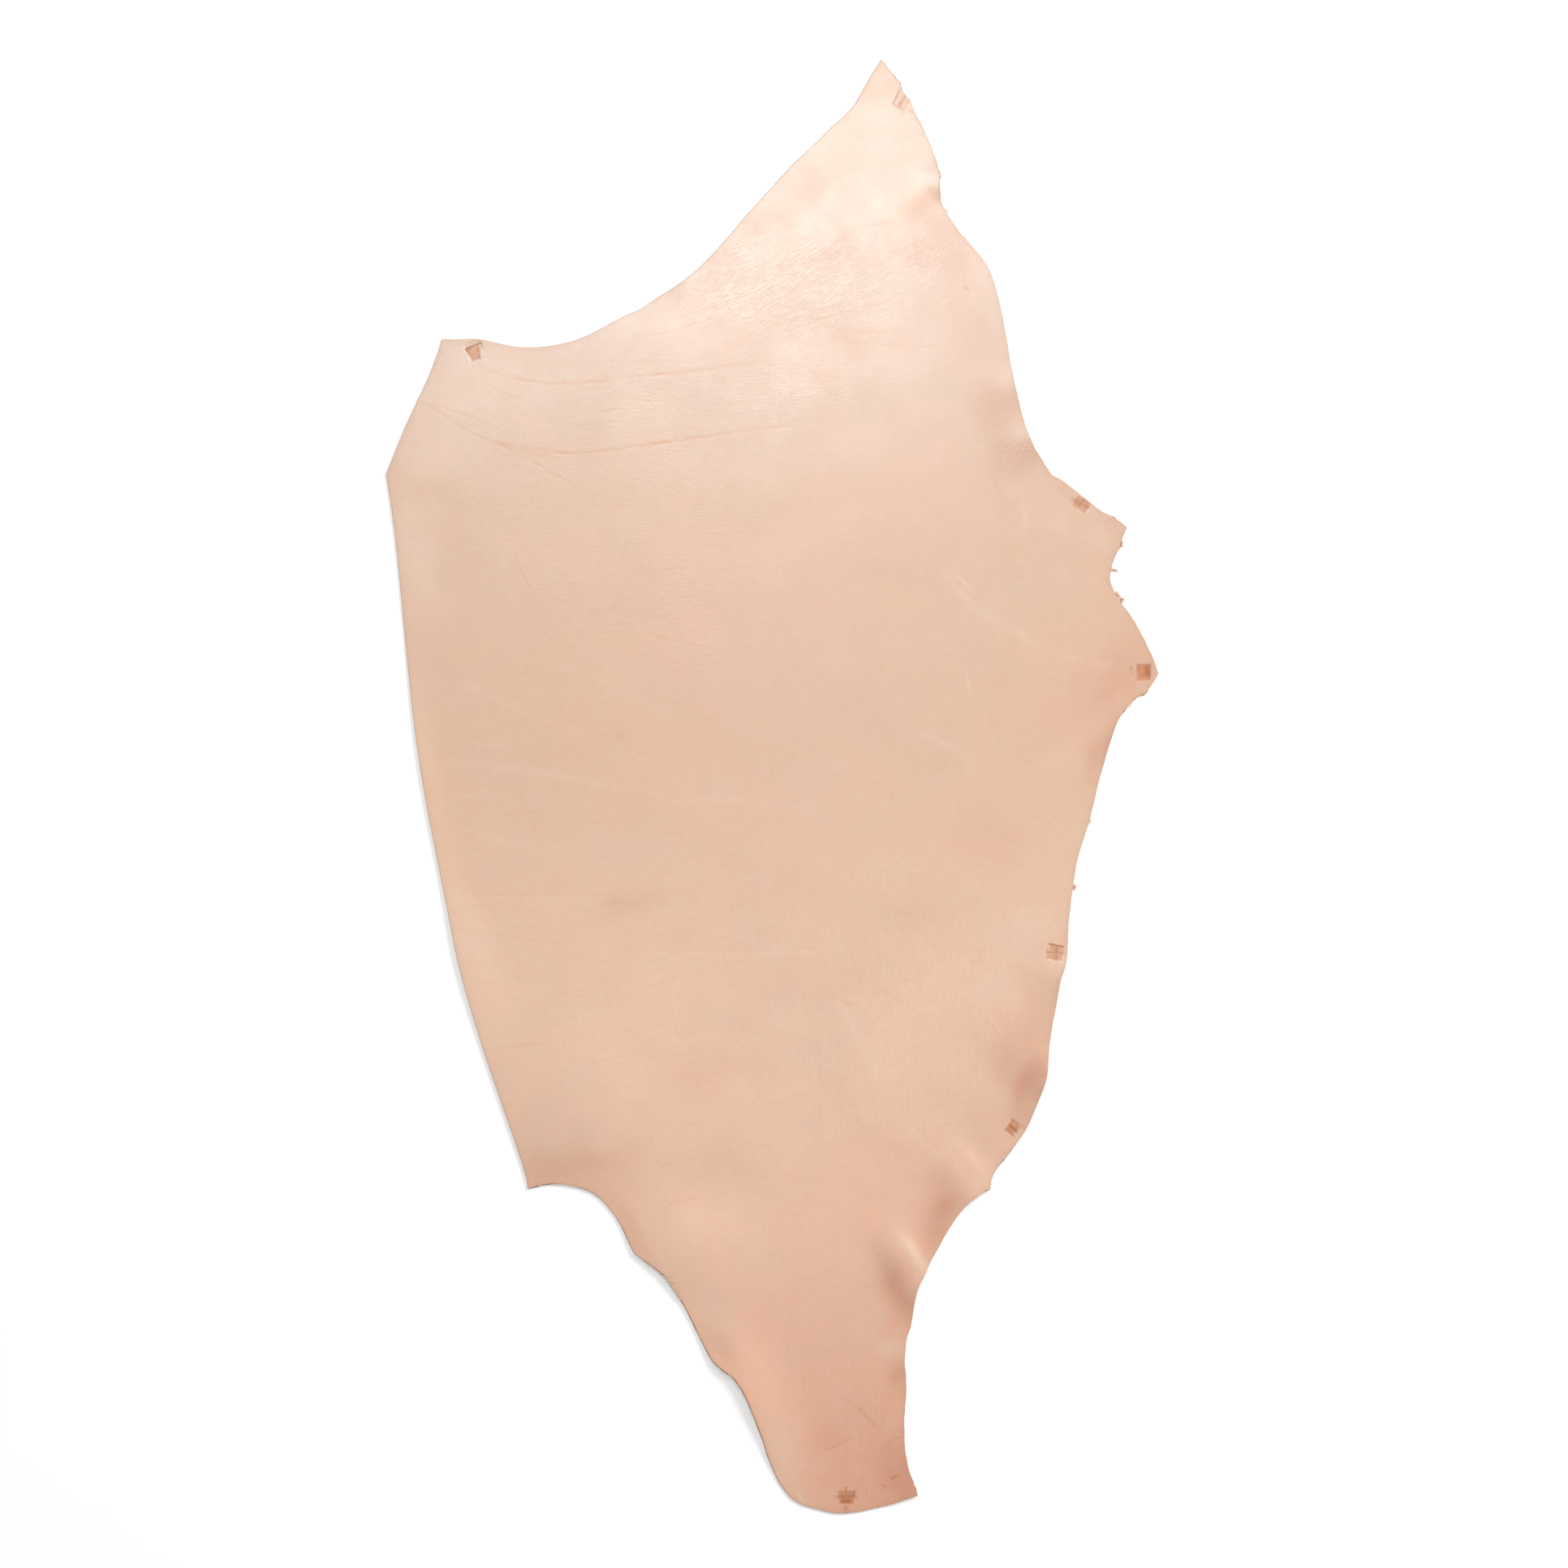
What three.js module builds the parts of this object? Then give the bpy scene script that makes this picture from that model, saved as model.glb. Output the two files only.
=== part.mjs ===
// A vegetable-tanned leather shoulder: one whole piece of a cattle hide, laid out flat with its
// grain side up. The long way is along Y, from the upper shank at +Y to the lower shank at -Y.
// The nearly straight cut across the back is at -X, and the neck edge is at +X.
// Millimetres, +Z up. The origin is in the middle of the outline, on the surface it rests on.

import * as THREE from 'three';

const LENGTH = 1702; // along Y, from shank to shank
const WIDTH = 904; // along X, from the back cut to the neck
const THICKNESS = 2.8; // about 7 oz leather
const OUTLINE_STEP = 16; // longest side of a facet along the cut edge
const LATTICE_STEP = 25; // spacing of the points inside the outline
const EDGE_CLEARANCE = 0.62; // of LATTICE_STEP, kept free inside the cut edge
const SETTLED = 0.8; // the leather lies on the surface wherever its waves are lower than this

// The cut edge, clockwise seen from above. Each stretch is one smooth curve through its points,
// and the edge turns a corner where one stretch meets the next.
const BACK_CORNER = { x: -451.5, y: 366 };
const UPPER_FLANK_CORNER = { x: -386.5, y: 524 };
const UPPER_SHANK_TIP = { x: 128, y: 851 };
const UPPER_SHANK_NOTCH = { x: 150.5, y: 816 };
const CHEEK_NOTCH = { x: 327, y: 364.5 };
const CHEEK_TIP = { x: 415, y: 303.5 };
const NECK_TIP = { x: 452, y: 132 };
const NECK_NOTCH = { x: 438.5, y: 110.5 };
const LOWER_CHEEK_CORNER = { x: 254, y: -471 };
const LOWER_SHANK_CORNER = { x: 170, y: -830 };
const LOWER_FLANK_NOTCH = { x: -161.5, y: -546.5 };
const BACK_END = { x: -285.5, y: -471 };

const CUT_EDGE = {
  backBevel: [
    BACK_CORNER,
    { x: -429, y: 421 },
    { x: -400, y: 484 },
    { x: -389, y: 514 },
    UPPER_FLANK_CORNER,
  ],
  upperFlank: [
    UPPER_FLANK_CORNER,
    { x: -346, y: 524 },
    { x: -292, y: 514 },
    { x: -235, y: 521 },
    { x: -180, y: 547 },
    { x: -94, y: 600 },
    { x: -18, y: 682 },
    { x: 34, y: 738.5 },
    { x: 97, y: 799 },
    { x: 109, y: 820 },
    UPPER_SHANK_TIP,
  ],
  upperShankTip: [
    UPPER_SHANK_TIP,
    { x: 145, y: 828 },
    UPPER_SHANK_NOTCH,
  ],
  upperShankSide: [
    UPPER_SHANK_NOTCH,
    { x: 164, y: 795 },
    { x: 188, y: 742 },
    { x: 196, y: 712 },
    { x: 197, y: 685 },
    { x: 220, y: 648 },
    { x: 252, y: 609 },
    { x: 268, y: 557 },
    { x: 282, y: 481 },
    { x: 301, y: 410 },
    CHEEK_NOTCH,
  ],
  upperCheek: [
    CHEEK_NOTCH,
    { x: 340, y: 357.5 },
    { x: 388, y: 320 },
    { x: 402, y: 313.5 },
    CHEEK_TIP,
  ],
  neck: [
    CHEEK_TIP,
    { x: 402, y: 272 },
    { x: 395.5, y: 246 },
    { x: 404, y: 222 },
    { x: 423, y: 195 },
    { x: 447, y: 147 },
    NECK_TIP,
  ],
  neckBevel: [
    NECK_TIP,
    { x: 445, y: 121 },
    NECK_NOTCH,
  ],
  lowerCheek: [
    NECK_NOTCH,
    { x: 421.5, y: 100.5 },
    { x: 404.5, y: 76.5 },
    { x: 386, y: 20 },
    { x: 371, y: -40 },
    { x: 356, y: -91 },
    { x: 347, y: -160 },
    { x: 344, y: -206 },
    { x: 335, y: -242 },
    { x: 324.5, y: -302 },
    { x: 321, y: -342 },
    { x: 298, y: -400 },
    { x: 260, y: -452 },
    LOWER_CHEEK_CORNER,
  ],
  lowerShankSide: [
    LOWER_CHEEK_CORNER,
    { x: 225, y: -493 },
    { x: 190, y: -547 },
    { x: 170, y: -590 },
    { x: 162.5, y: -631 },
    { x: 155, y: -665 },
    { x: 157, y: -700 },
    { x: 154, y: -752 },
    { x: 159, y: -796 },
    LOWER_SHANK_CORNER,
  ],
  lowerShankFoot: [
    LOWER_SHANK_CORNER,
    { x: 130, y: -842.5 },
    { x: 74, y: -850.5 },
    { x: 25, y: -835 },
    { x: 0, y: -798 },
    { x: -33, y: -711 },
    { x: -50, y: -688 },
    { x: -66, y: -677 },
    { x: -107, y: -601 },
    { x: -130, y: -570.5 },
    LOWER_FLANK_NOTCH,
  ],
  lowerFlank: [
    LOWER_FLANK_NOTCH,
    { x: -183, y: -504 },
    { x: -212, y: -474.5 },
    { x: -262, y: -465 },
    BACK_END,
  ],
  backCut: [
    BACK_END,
    { x: -290, y: -450 },
    { x: -340.5, y: -300 },
    { x: -369.5, y: -200 },
    { x: -389.5, y: -100 },
    { x: -416, y: 50 },
    { x: -442, y: 300 },
    BACK_CORNER,
  ],
};

// How the leather lies: each row is one soft wave, a rounded rise with its middle at x, y.
// `along` and `across` are its reach each way, and `turn` is the direction of `along` from +X.
const WAVES = [
  { place: 'back cut, middle', x: -420, y: 20, along: 120, across: 28, turn: 98, rise: 4.5 },
  { place: 'back cut, lower part', x: -374, y: -205, along: 110, across: 42, turn: 105, rise: 6.5 },
  { place: 'back cut, foot', x: -222, y: -385, along: 100, across: 100, turn: 135, rise: 7 },
  { place: 'lower flank', x: -108, y: -548, along: 56, across: 78, turn: 135, rise: 10 },
  { place: 'lower shank, left edge', x: -46, y: -722, along: 70, across: 56, turn: 115, rise: 14 },
  { place: 'lower shank, corner', x: 180, y: -790, along: 62, across: 48, turn: 95, rise: 9 },
  { place: 'lower shank, right edge', x: 160, y: -672, along: 28, across: 24, turn: 140, rise: 5 },
  { place: 'lower shank, ridge', x: 160, y: -570, along: 58, across: 24, turn: 118, rise: 10 },
  { place: 'lower cheek, corner', x: 226, y: -468, along: 55, across: 30, turn: 125, rise: 8 },
  { place: 'lower cheek, buckle', x: 328, y: -345, along: 46, across: 26, turn: 130, rise: 6.5 },
  { place: 'lower cheek, edge', x: 342, y: -228, along: 32, across: 28, turn: 120, rise: 6 },
  { place: 'below the neck', x: 408, y: 66, along: 54, across: 36, turn: 70, rise: 4 },
  { place: 'upper cheek, notch', x: 304, y: 404, along: 40, across: 30, turn: 150, rise: 2.4 },
  { place: 'upper cheek, side', x: 282, y: 472, along: 42, across: 30, turn: 170, rise: 2.2 },
  { place: 'upper shank, side', x: 204, y: 712, along: 34, across: 24, turn: 140, rise: 6 },
  { place: 'upper flank', x: -110, y: 595, along: 24, across: 24, turn: 60, rise: 4.5 },
];

const LEATHER = new THREE.MeshStandardMaterial({
  color: 0xe8c6ac,
  roughness: 0.62,
  metalness: 0,
});

// The points of one stretch of the edge, evenly spaced, without its last one.
function stretchPoints(points) {
  const through = points.map(({ x, y }) => new THREE.Vector3(x, y, 0));
  const curve = new THREE.CatmullRomCurve3(through, false, 'centripetal');
  const count = Math.ceil(curve.getLength() / OUTLINE_STEP);
  return curve.getSpacedPoints(count).slice(0, -1);
}

// The whole edge, centred and brought to the leather's width and length.
function outlinePoints() {
  const edge = Object.values(CUT_EDGE).flatMap(stretchPoints).map(({ x, y }) => new THREE.Vector2(x, y));
  const box = new THREE.Box2().setFromPoints(edge);
  const middle = box.getCenter(new THREE.Vector2());
  const scale = new THREE.Vector2(WIDTH, LENGTH).divide(box.getSize(new THREE.Vector2()));
  return edge.map((point) => point.sub(middle).multiply(scale));
}

function isInside(point, outline) {
  let inside = false;
  outline.forEach((start, i) => {
    const end = outline[(i + 1) % outline.length];
    const crosses = start.y > point.y !== end.y > point.y;
    if (crosses && point.x < start.x + (end.x - start.x) * (point.y - start.y) / (end.y - start.y)) {
      inside = !inside;
    }
  });
  return inside;
}

// Staggered rows of points inside the outline, kept clear of its edge.
function latticePoints(outline) {
  const clearance = LATTICE_STEP * EDGE_CLEARANCE;
  const rowStep = LATTICE_STEP * Math.sqrt(3) / 2;
  const rows = Math.ceil(LENGTH / 2 / rowStep);
  const columns = Math.ceil(WIDTH / 2 / LATTICE_STEP);
  const points = [];
  for (let row = -rows; row <= rows; row += 1) {
    const shift = row % 2 === 0 ? 0 : LATTICE_STEP / 2;
    for (let column = -columns; column <= columns; column += 1) {
      const point = new THREE.Vector2(column * LATTICE_STEP + shift, row * rowStep);
      const clear = outline.every((edge) => edge.distanceTo(point) > clearance);
      if (clear && isInside(point, outline)) {
        points.push(point);
      }
    }
  }
  return points;
}

// Circle through the three corners of a triangle.
function circumcircle(points, [a, b, c]) {
  const [p, q, r] = [points[a], points[b], points[c]];
  const double = 2 * (p.x * (q.y - r.y) + q.x * (r.y - p.y) + r.x * (p.y - q.y));
  const [pp, qq, rr] = [p.lengthSq(), q.lengthSq(), r.lengthSq()];
  const centre = new THREE.Vector2(
    (pp * (q.y - r.y) + qq * (r.y - p.y) + rr * (p.y - q.y)) / double,
    (pp * (r.x - q.x) + qq * (p.x - r.x) + rr * (q.x - p.x)) / double,
  );
  return { corners: [a, b, c], centre, radiusSq: centre.distanceToSquared(p) };
}

// Delaunay triangles of the points: each new point removes the triangles whose circles hold it,
// and joins up with the rim of the hole that they leave.
function triangulate(points) {
  const far = 4 * LENGTH; // corners of a first triangle that holds every point
  const first = points.length;
  const all = [
    ...points,
    new THREE.Vector2(-far, -far),
    new THREE.Vector2(far, -far),
    new THREE.Vector2(0, far),
  ];
  let triangles = [circumcircle(all, [first, first + 1, first + 2])];
  points.forEach((point, index) => {
    const rim = new Map();
    const kept = [];
    for (const triangle of triangles) {
      if (triangle.centre.distanceToSquared(point) >= triangle.radiusSq) {
        kept.push(triangle);
        continue;
      }
      const [a, b, c] = triangle.corners;
      for (const [from, to] of [[a, b], [b, c], [c, a]]) {
        if (!rim.delete(`${to} ${from}`)) {
          rim.set(`${from} ${to}`, [from, to]);
        }
      }
    }
    const added = [...rim.values()].map(([from, to]) => circumcircle(all, [from, to, index]));
    triangles = [...kept, ...added];
  });
  return triangles.map(({ corners }) => corners).filter((corners) => Math.max(...corners) < first);
}

// Height of the leather's underside above the surface, which it leaves with no kink.
function lift({ x, y }) {
  let height = 0;
  for (const wave of WAVES) {
    const turn = THREE.MathUtils.degToRad(wave.turn);
    const along = (x - wave.x) * Math.cos(turn) + (y - wave.y) * Math.sin(turn);
    const across = (y - wave.y) * Math.cos(turn) - (x - wave.x) * Math.sin(turn);
    height += wave.rise * Math.exp(-((along / wave.along) ** 2) - (across / wave.across) ** 2);
  }
  const free = Math.max(0, height - SETTLED);
  return free ** 2 / (free + SETTLED);
}

function leatherSheet() {
  const outline = outlinePoints();
  const points = [...outline, ...latticePoints(outline)];
  const faces = triangulate(points).filter(([a, b, c]) => {
    const centre = points[a].clone().add(points[b]).add(points[c]).divideScalar(3);
    return isInside(centre, outline);
  });
  const under = points.flatMap((point) => [point.x, point.y, lift(point)]);
  const grain = points.flatMap((point) => [point.x, point.y, lift(point) + THICKNESS]);
  const top = points.length;
  const triangles = [];
  for (const [a, b, c] of faces) {
    triangles.push(a + top, b + top, c + top);
    triangles.push(a, c, b);
  }
  outline.forEach((_, i) => {
    const next = (i + 1) % outline.length;
    triangles.push(i, i + top, next);
    triangles.push(next, i + top, next + top);
  });
  const geometry = new THREE.BufferGeometry();
  geometry.setAttribute('position', new THREE.Float32BufferAttribute([...under, ...grain], 3));
  geometry.setIndex(triangles);
  geometry.computeVertexNormals();
  return geometry;
}

const part = new THREE.Group();
const leather = new THREE.Mesh(leatherSheet(), LEATHER);
leather.name = 'leather_shoulder';
part.add(leather);

export default part;
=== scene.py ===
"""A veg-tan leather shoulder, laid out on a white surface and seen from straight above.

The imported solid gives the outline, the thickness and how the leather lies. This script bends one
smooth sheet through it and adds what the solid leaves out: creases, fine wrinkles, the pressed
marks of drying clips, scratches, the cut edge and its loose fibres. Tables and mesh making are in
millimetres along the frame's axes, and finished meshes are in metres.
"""

import math
import random

import bmesh
import bpy
import numpy as np
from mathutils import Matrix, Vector, geometry, kdtree, noise


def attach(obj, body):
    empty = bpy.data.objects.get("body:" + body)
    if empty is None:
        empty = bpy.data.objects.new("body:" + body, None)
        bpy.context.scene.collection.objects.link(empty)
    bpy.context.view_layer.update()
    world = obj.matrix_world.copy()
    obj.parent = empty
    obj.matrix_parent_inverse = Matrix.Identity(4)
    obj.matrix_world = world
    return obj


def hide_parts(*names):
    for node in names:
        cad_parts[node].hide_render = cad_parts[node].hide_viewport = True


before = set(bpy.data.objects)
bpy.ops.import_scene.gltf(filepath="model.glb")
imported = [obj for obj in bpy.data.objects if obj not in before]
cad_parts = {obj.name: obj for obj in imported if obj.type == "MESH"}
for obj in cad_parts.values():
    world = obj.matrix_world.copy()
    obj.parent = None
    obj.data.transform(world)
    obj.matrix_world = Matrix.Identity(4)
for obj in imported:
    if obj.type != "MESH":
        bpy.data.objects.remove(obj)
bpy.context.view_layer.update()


def table(columns, rows):
    """Rows of values as dictionaries, named by the columns."""
    return [dict(zip(columns.split(), row)) for row in rows]


SHEET_NODE = "leather_shoulder"
MM = 0.001
SEED = 7

# The sheet's mesh.
RIM_STEP = 2.6  # along the cut edge
LATTICE_STEP = 6.0  # between the points of the grain side
UNDER_STEP = 14.0  # between the points of the flesh side
MARK_STEP = 1.1  # between the points of a clip mark
CREASE_STEP = 2.4  # between the rows of points along a crease
CREASE_ROWS = (-7.5, -5, -3.2, -1.8, -0.8, 0, 0.8, 1.8, 3.2, 5, 7.5)  # distances from a crease
CREASE_WIDTH = 1.7  # the width of a crease with its rows at just those distances
STREAK_ROWS = (-1.6, -0.8, 0, 0.8, 1.6)  # distances from a streak, in its widths
LINE_ROWS = (-2, -1, 0, 1, 2)  # distances from a scratch or a jaw line, in its widths
SHOULDER_GAP, FEATURE_GAP, LATTICE_GAP, UNDER_GAP = 0.6, 0.75, 2.9, 6.0  # least room between points
SHAKE = 0.12  # how far a lattice's points lie out of line, as a share of its step
WELD, SAME_POINT = 0.01, 1e-5  # closer points are one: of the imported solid, of the triangulation
CORNER_TURN = math.radians(22)  # the edge turns a corner where it turns more than this
UPRIGHT = 0.3  # least upward share of a normal on the grain side
INSIDE = 1  # asks the triangulation for the inside of its outline alone
EDGE_WEAR = 7.0  # how far in from the cut the grain is a little worn by handling
# The darker band along the cut is partly the edge's own colour and partly painted shade.
RIM_DARK_REACH, RIM_SHARE = 0.6, 0.25  # how far in from the cut the grain is darker, and how much
GRAIN, CUT, FLESH = range(3)  # the sheet's material slots

# The cut edge, from the grain side down: how far each ring lies outside the cut as a share of the
# flesh lip, how far outside in millimetres, and how far below the grain as a share of thickness,
# where it is cut and where it is torn.
RIM_RINGS = table("lip out down torn", [
    (0.0, 0.0, 0.06, 0.06),
    (0.45, 0.05, 0.45, 0.12),
    (1, 0.0, 0.88, 0.3),
    (1, -0.5, 1, 1),
])
TORN_LIP = 1.05  # where the flesh side stands out further than this, it is torn and pale
TORN_FROM, TORN_TO = 0.9, 1.3  # shares of it between which the rings go from cut to torn
BEVEL = 0.35  # width of the rounding along the grain edge
UNDERCUT = 0.15  # how far the cut leans in below the grain where nothing stands out
WANDER = 0.15  # how far the foot of the cut wanders in and out of that
SHOULDER = 0.7  # from the rounding in to where the grain lies level again
SETTLED = 0.4  # how softly the flat leather runs into its raised parts
LOOSE = 0.5  # how high the flat leather lies on the surface, on the whole
SMOOTH_CUT, ROUGH_CUT = 0.12, 0.45  # how ragged the edge is along the back cut and the neck side

# Places where the flesh side shows past the grain edge: pale where torn, dark where just cut.
LIPS = table("x y reach out", [
    (396, 317, 6, 1.9), (417, 96, 9, 2.6), (253, -470, 5, 2.0), (272, -434, 10, 1.4), (166, -818, 12, 1.3),
    (-117, -584, 16, 4.0), (-142, -560, 13, 0.8), (-270, -468, 14, 1.3), (435, 109, 4, 2.0),
    (-215, -472, 26, 0.5), (-172, -528, 34, 0.6), (-92, -630, 30, 0.9), (-62, -680, 30, 0.8),
    (-32, -715, 34, 0.8), (-11, -765, 34, 0.8), (6, -812, 26, 0.55), (156, -745, 34, 0.5),
    (190, -541, 18, 0.5), (308, -377, 20, 0.4), (392, 50, 26, 0.5), (404, 280, 16, 0.7),
    (397, 240, 16, 0.4), (372, 335, 24, 0.5), (197, 690, 22, 0.5), (190, 731, 22, 0.6), (172, 776, 20, 0.6),
    (148, 820, 20, 0.8),
])

# Small bumps (out) and nicks (in) of the cut edge.
NICKS = table("x y reach out", [
    (203.5, 675, 2.2, 2.4), (224.5, 642, 1.6, 1.2), (196.5, 716, 3, 1), (148.5, 822, 4.5, 2.6),
    (162, 803, 4.5, 2.8), (169, 781, 9, -1.2), (406, 281, 4, 1.6), (408, 219, 3, 2.2), (398, 240, 12, -1.4),
    (371, -41, 1.6, 1.2), (353, -117, 2.4, 1.2), (340, -224, 12, -1.2), (308, -377, 22, -1.2),
    (252, -473, 6, -1), (176, -571, 12, 1.2), (160, -645, 10, -1.2), (50, -846, 14, -1.2),
    (-13, -765, 28, -1.9), (-107, -597, 2, -1.0), (-118, -583, 13, -3.2), (-288, -460, 2.5, -0.8),
    (-379, -150, 60, -1.1), (-368, 524, 16, -1.3), (-156, 561, 15, -1.9), (42, 747, 20, -1.2),
])

# Soft folds too small for the solid, with the same columns as its waves.
FOLDS = table("x y along across turn rise", [
    (164, -549, 26, 7, 124, 1.5),
    (232, -438, 22, 8, 129, 1.1),
    (-22, -678, 18, 8, 112, 0.4),
    (204, 716, 32, 20, 140, -2.2),
    (-110, 595, 24, 24, 60, -2.2),
])

# Creases of the grain, each a curve through a few points: its width, its depth and how dark it is. The dark
# along a groove is partly painted shade and partly the crease's own colour.
CREASES = table("width depth tone through", [
    (1.9, 0.07, 0.38, [
        (-351, 499), (-335, 488), (-305, 478), (-270, 472.5), (-245, 471), (-200, 474), (-160, 480),
        (-95, 485), (-50, 492), (0, 499)]),
    (2, 0.08, 0.44, [
        (-414, 447), (-390, 438), (-372, 425), (-340, 408), (-300, 397), (-260, 391), (-220, 390),
        (-160, 397.5), (-100, 406), (-40, 414.5), (0, 419.5), (46, 422.5)]),
    (1.7, 0.07, 0.36, [(-345, 410), (-320, 399.5), (-305, 394), (-275, 387), (-244, 383)]),
    (1.6, 0.07, 0.26, [(-300, 390), (-285, 382), (-260, 367), (-232, 352)]),
    (1.7, 0.07, 0.26, [(-420, 453), (-405, 446), (-385, 443), (-360, 434), (-333, 423)]),
    (1.4, 0.05, 0.22, [(-342, 473), (-320, 462), (-298, 453), (-276, 448)]),
    (1.3, 0.04, 0.21, [(-214, 439), (-195, 438.5), (-175, 442)]),
    (1.3, 0.04, 0.2, [(-236, 421), (-208, 423.5), (-172, 428)]),
    (1.3, 0.04, 0.2, [(-160, 451), (-130, 450), (-96, 455)]),
    (1.3, 0.05, 0.22, [(-164, 526), (-122, 530), (-94, 540), (-62, 550), (-30, 561)]),
    (1.3, 0.06, 0.24, [(48, 556), (75, 562), (98, 574)]),
    (1.3, 0.06, 0.24, [(10, 544), (50, 546), (80, 553), (110, 561), (134, 569)]),
    (1.3, 0.04, 0.21, [(100, 576), (126, 577), (152, 584)]),
    (1.3, 0.04, 0.2, [(104, 520), (140, 514), (196, 513)]),
    (1.4, 0.06, 0.42, [(252, 378), (256, 366), (262, 355), (267, 343), (276, 328)]),
    (1.3, 0.05, 0.22, [(-306, 285), (-296, 255), (-284, 230), (-268, 203)]),
    (1.3, 0.04, 0.2, [(-250, 180), (-240, 166), (-228, 148)]),
    (1.6, 0.04, 0.2, [(-240, 178), (-190, 179), (-150, 177), (-105, 168), (-60, 158), (0, 152)]),
    (1.4, 0.04, 0.21, [(-370, -123), (-320, -127), (-245, -127)]),
    (1.9, 0.07, 0.26, [(-198, -139), (-180, -136), (-158, -140)]),
    (1.3, 0.04, 0.21, [(-152, -122), (-140, -108), (-126, -98)]),
    (1.4, 0.04, 0.21, [(-312, -32), (-290, -30), (-262, -33)]),
    (1.3, 0.03, 0.24, [(-338, -309), (-300, -304), (-262, -300)]),
    (1.3, 0.03, 0.2, [(-222, -325), (-190, -320), (-160, -310)]),
    (1.6, 0.02, 0.34, [(-194, -138), (-186, -136), (-177, -137)]),
    (1.6, 0.07, 0.26, [(66, -240), (76, -248), (92, -258)]),
    (1.4, 0.04, 0.21, [(100, -214), (122, -234), (146, -250), (170, -262)]),
    (1.4, 0.07, 0.26, [(248, -266), (262, -286), (282, -312)]),
    (1.4, 0.04, 0.21, [(168, -398), (185, -416), (202, -432)]),
    (1.3, 0.04, 0.2, [(-140, -452), (-116, -441), (-84, -433)]),
    (1.3, 0.04, 0.2, [(-136, -498), (-110, -486), (-76, -478)]),
    (3, 0.03, 0.3, [(59, 623), (74, 636), (90, 650)]),
    (3, 0.03, 0.2, [(20, 596), (44, 612), (62, 628)]),
    (3, 0.03, 0.22, [(66, 601), (76, 607), (88, 614)]),
    (2, 0.03, 0.16, [(93, 653), (118, 657), (145, 662)]),
    (2.4, 0.03, 0.16, [(86, 532), (115, 530), (150, 534)]),
    (2.4, 0.03, 0.16, [(90, 519), (120, 516), (152, 513)]),
])

# Pale stretch marks, where veins ran under the hide or the grain has pulled.
STREAKS = table("width tone through", [
    (4.5, 0.17, [(-390, 31), (-330, 24), (-280, 18), (-240, 11), (-200, 3), (-158, -4)]),
    (4, 0.14, [(-300, 151), (-250, 140), (-215, 132), (-188, 118), (-150, 103)]),
    (4, 0.14, [(-385, 120), (-340, 112), (-300, 91), (-262, 75)]),
    (3, 0.12, [(-382, -14), (-340, -12), (-300, -15)]),
    (3.5, 0.13, [(-380, -43), (-330, -60), (-290, -68), (-245, -71)]),
    (3.5, 0.14, [(-335, -131), (-250, -134), (-200, -137)]),
    (3.5, 0.12, [(-360, 50), (-320, 48), (-285, 42)]),
    (4.5, 0.14, [(-150, -10), (-110, -16), (-60, -14), (0, -22), (60, -28)]),
    (2.5, 0.16, [(-100, -195), (-30, -197), (50, -193), (82, -190)]),
    (3, 0.14, [(-124, -296), (-60, -293), (4, -297)]),
    (6, 0.2, [(55, -232), (80, -256), (95, -282), (110, -310), (126, -341), (142, -372)]),
    (5, 0.16, [(158, -398), (180, -420), (204, -440)]),
    (5, 0.17, [
        (152, 300), (185, 266), (215, 232), (245, 204), (268, 190), (290, 178), (312, 162),
        (345, 152), (372, 146), (412, 136)]),
    (1.4, 0.3, [(214, 249), (225, 238), (238, 226)]),
    (12, 0.34, [(-46, 606), (9, 628), (36, 652), (59, 676), (84, 706), (104, 737)]),
    (1.4, 0.4, [(80, 710), (92, 723), (104, 737)]),
    (8, 0.3, [(151, 692), (168, 704), (187, 714)]),
    (1.2, 0.3, [(195, 563), (201, 567), (208, 571)]),
    (1.3, 0.4, [(107, 577), (116, 583), (124, 587)]),
    (1.3, 0.3, [(126, 598), (137, 605), (148, 618)]),
    (5, 0.18, [(150, 72), (168, 64), (190, 55), (215, 42), (230, 22), (237, 8)]),
    (1, 0.4, [(226, 141), (229, 122), (231, 103)]),
    (1.1, 0.5, [(246, -258), (264, -284), (279, -307)]),
    (1.1, 0.5, [(28, -826), (32, -831), (37, -838)]),
    (3, 0.3, [(293, 330), (296, 316), (297, 300)]),
])

# Thin red-brown scratches and specks on the shanks.
SCRATCHES = table("x y x2 y2 width tone", [
    (162.4, 789.4, 163.2, 788.8, 0.9, 0.6),
    (228, 582, 229, 581, 1.0, 0.4),
    (66.5, -776, 76, -771.5, 0.8, 0.4),
    (76, -771.5, 91, -763, 0.8, 0.25),
    (100, -727, 127, -755, 2.2, 0.18),
    (84, -716, 100, -727, 1.8, 0.12),
    (136, -767, 145, -762.5, 0.8, 0.3),
    (145, -762.5, 154, -761, 0.8, 0.25),
    (141, -810, 144.5, -807, 1.0, 0.8),
    (128, -818, 132, -820, 0.9, 0.5),
])

# Pressed marks of the drying clips. `foot` is the width at the far end, `tone` how dark it is.
CLIP_MARKS = table("x y turn width length foot tone", [
    (-349.5, 507.5, 21, 18, 16, 10, 0.66),
    (-352.5, 518.5, 21, 19, 5, 19, 0.24),
    (151.5, 802, -27, 15, 18, 13, 0.22),
    (361.5, 329.5, -30, 18.5, 13.5, 17.5, 0.54),
    (435, 133, 1, 17, 18.5, 15, 0.8),
    (331.5, -195, -10, 18, 18, 17, 0.45),
    (281, -400.5, -40, 14, 15, 13, 0.7),
    (86.5, -833, 0, 19, 14, 17.5, 0.6),
])
PRESS_DEPTH = 0.3  # how far a clip sank the grain

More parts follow.
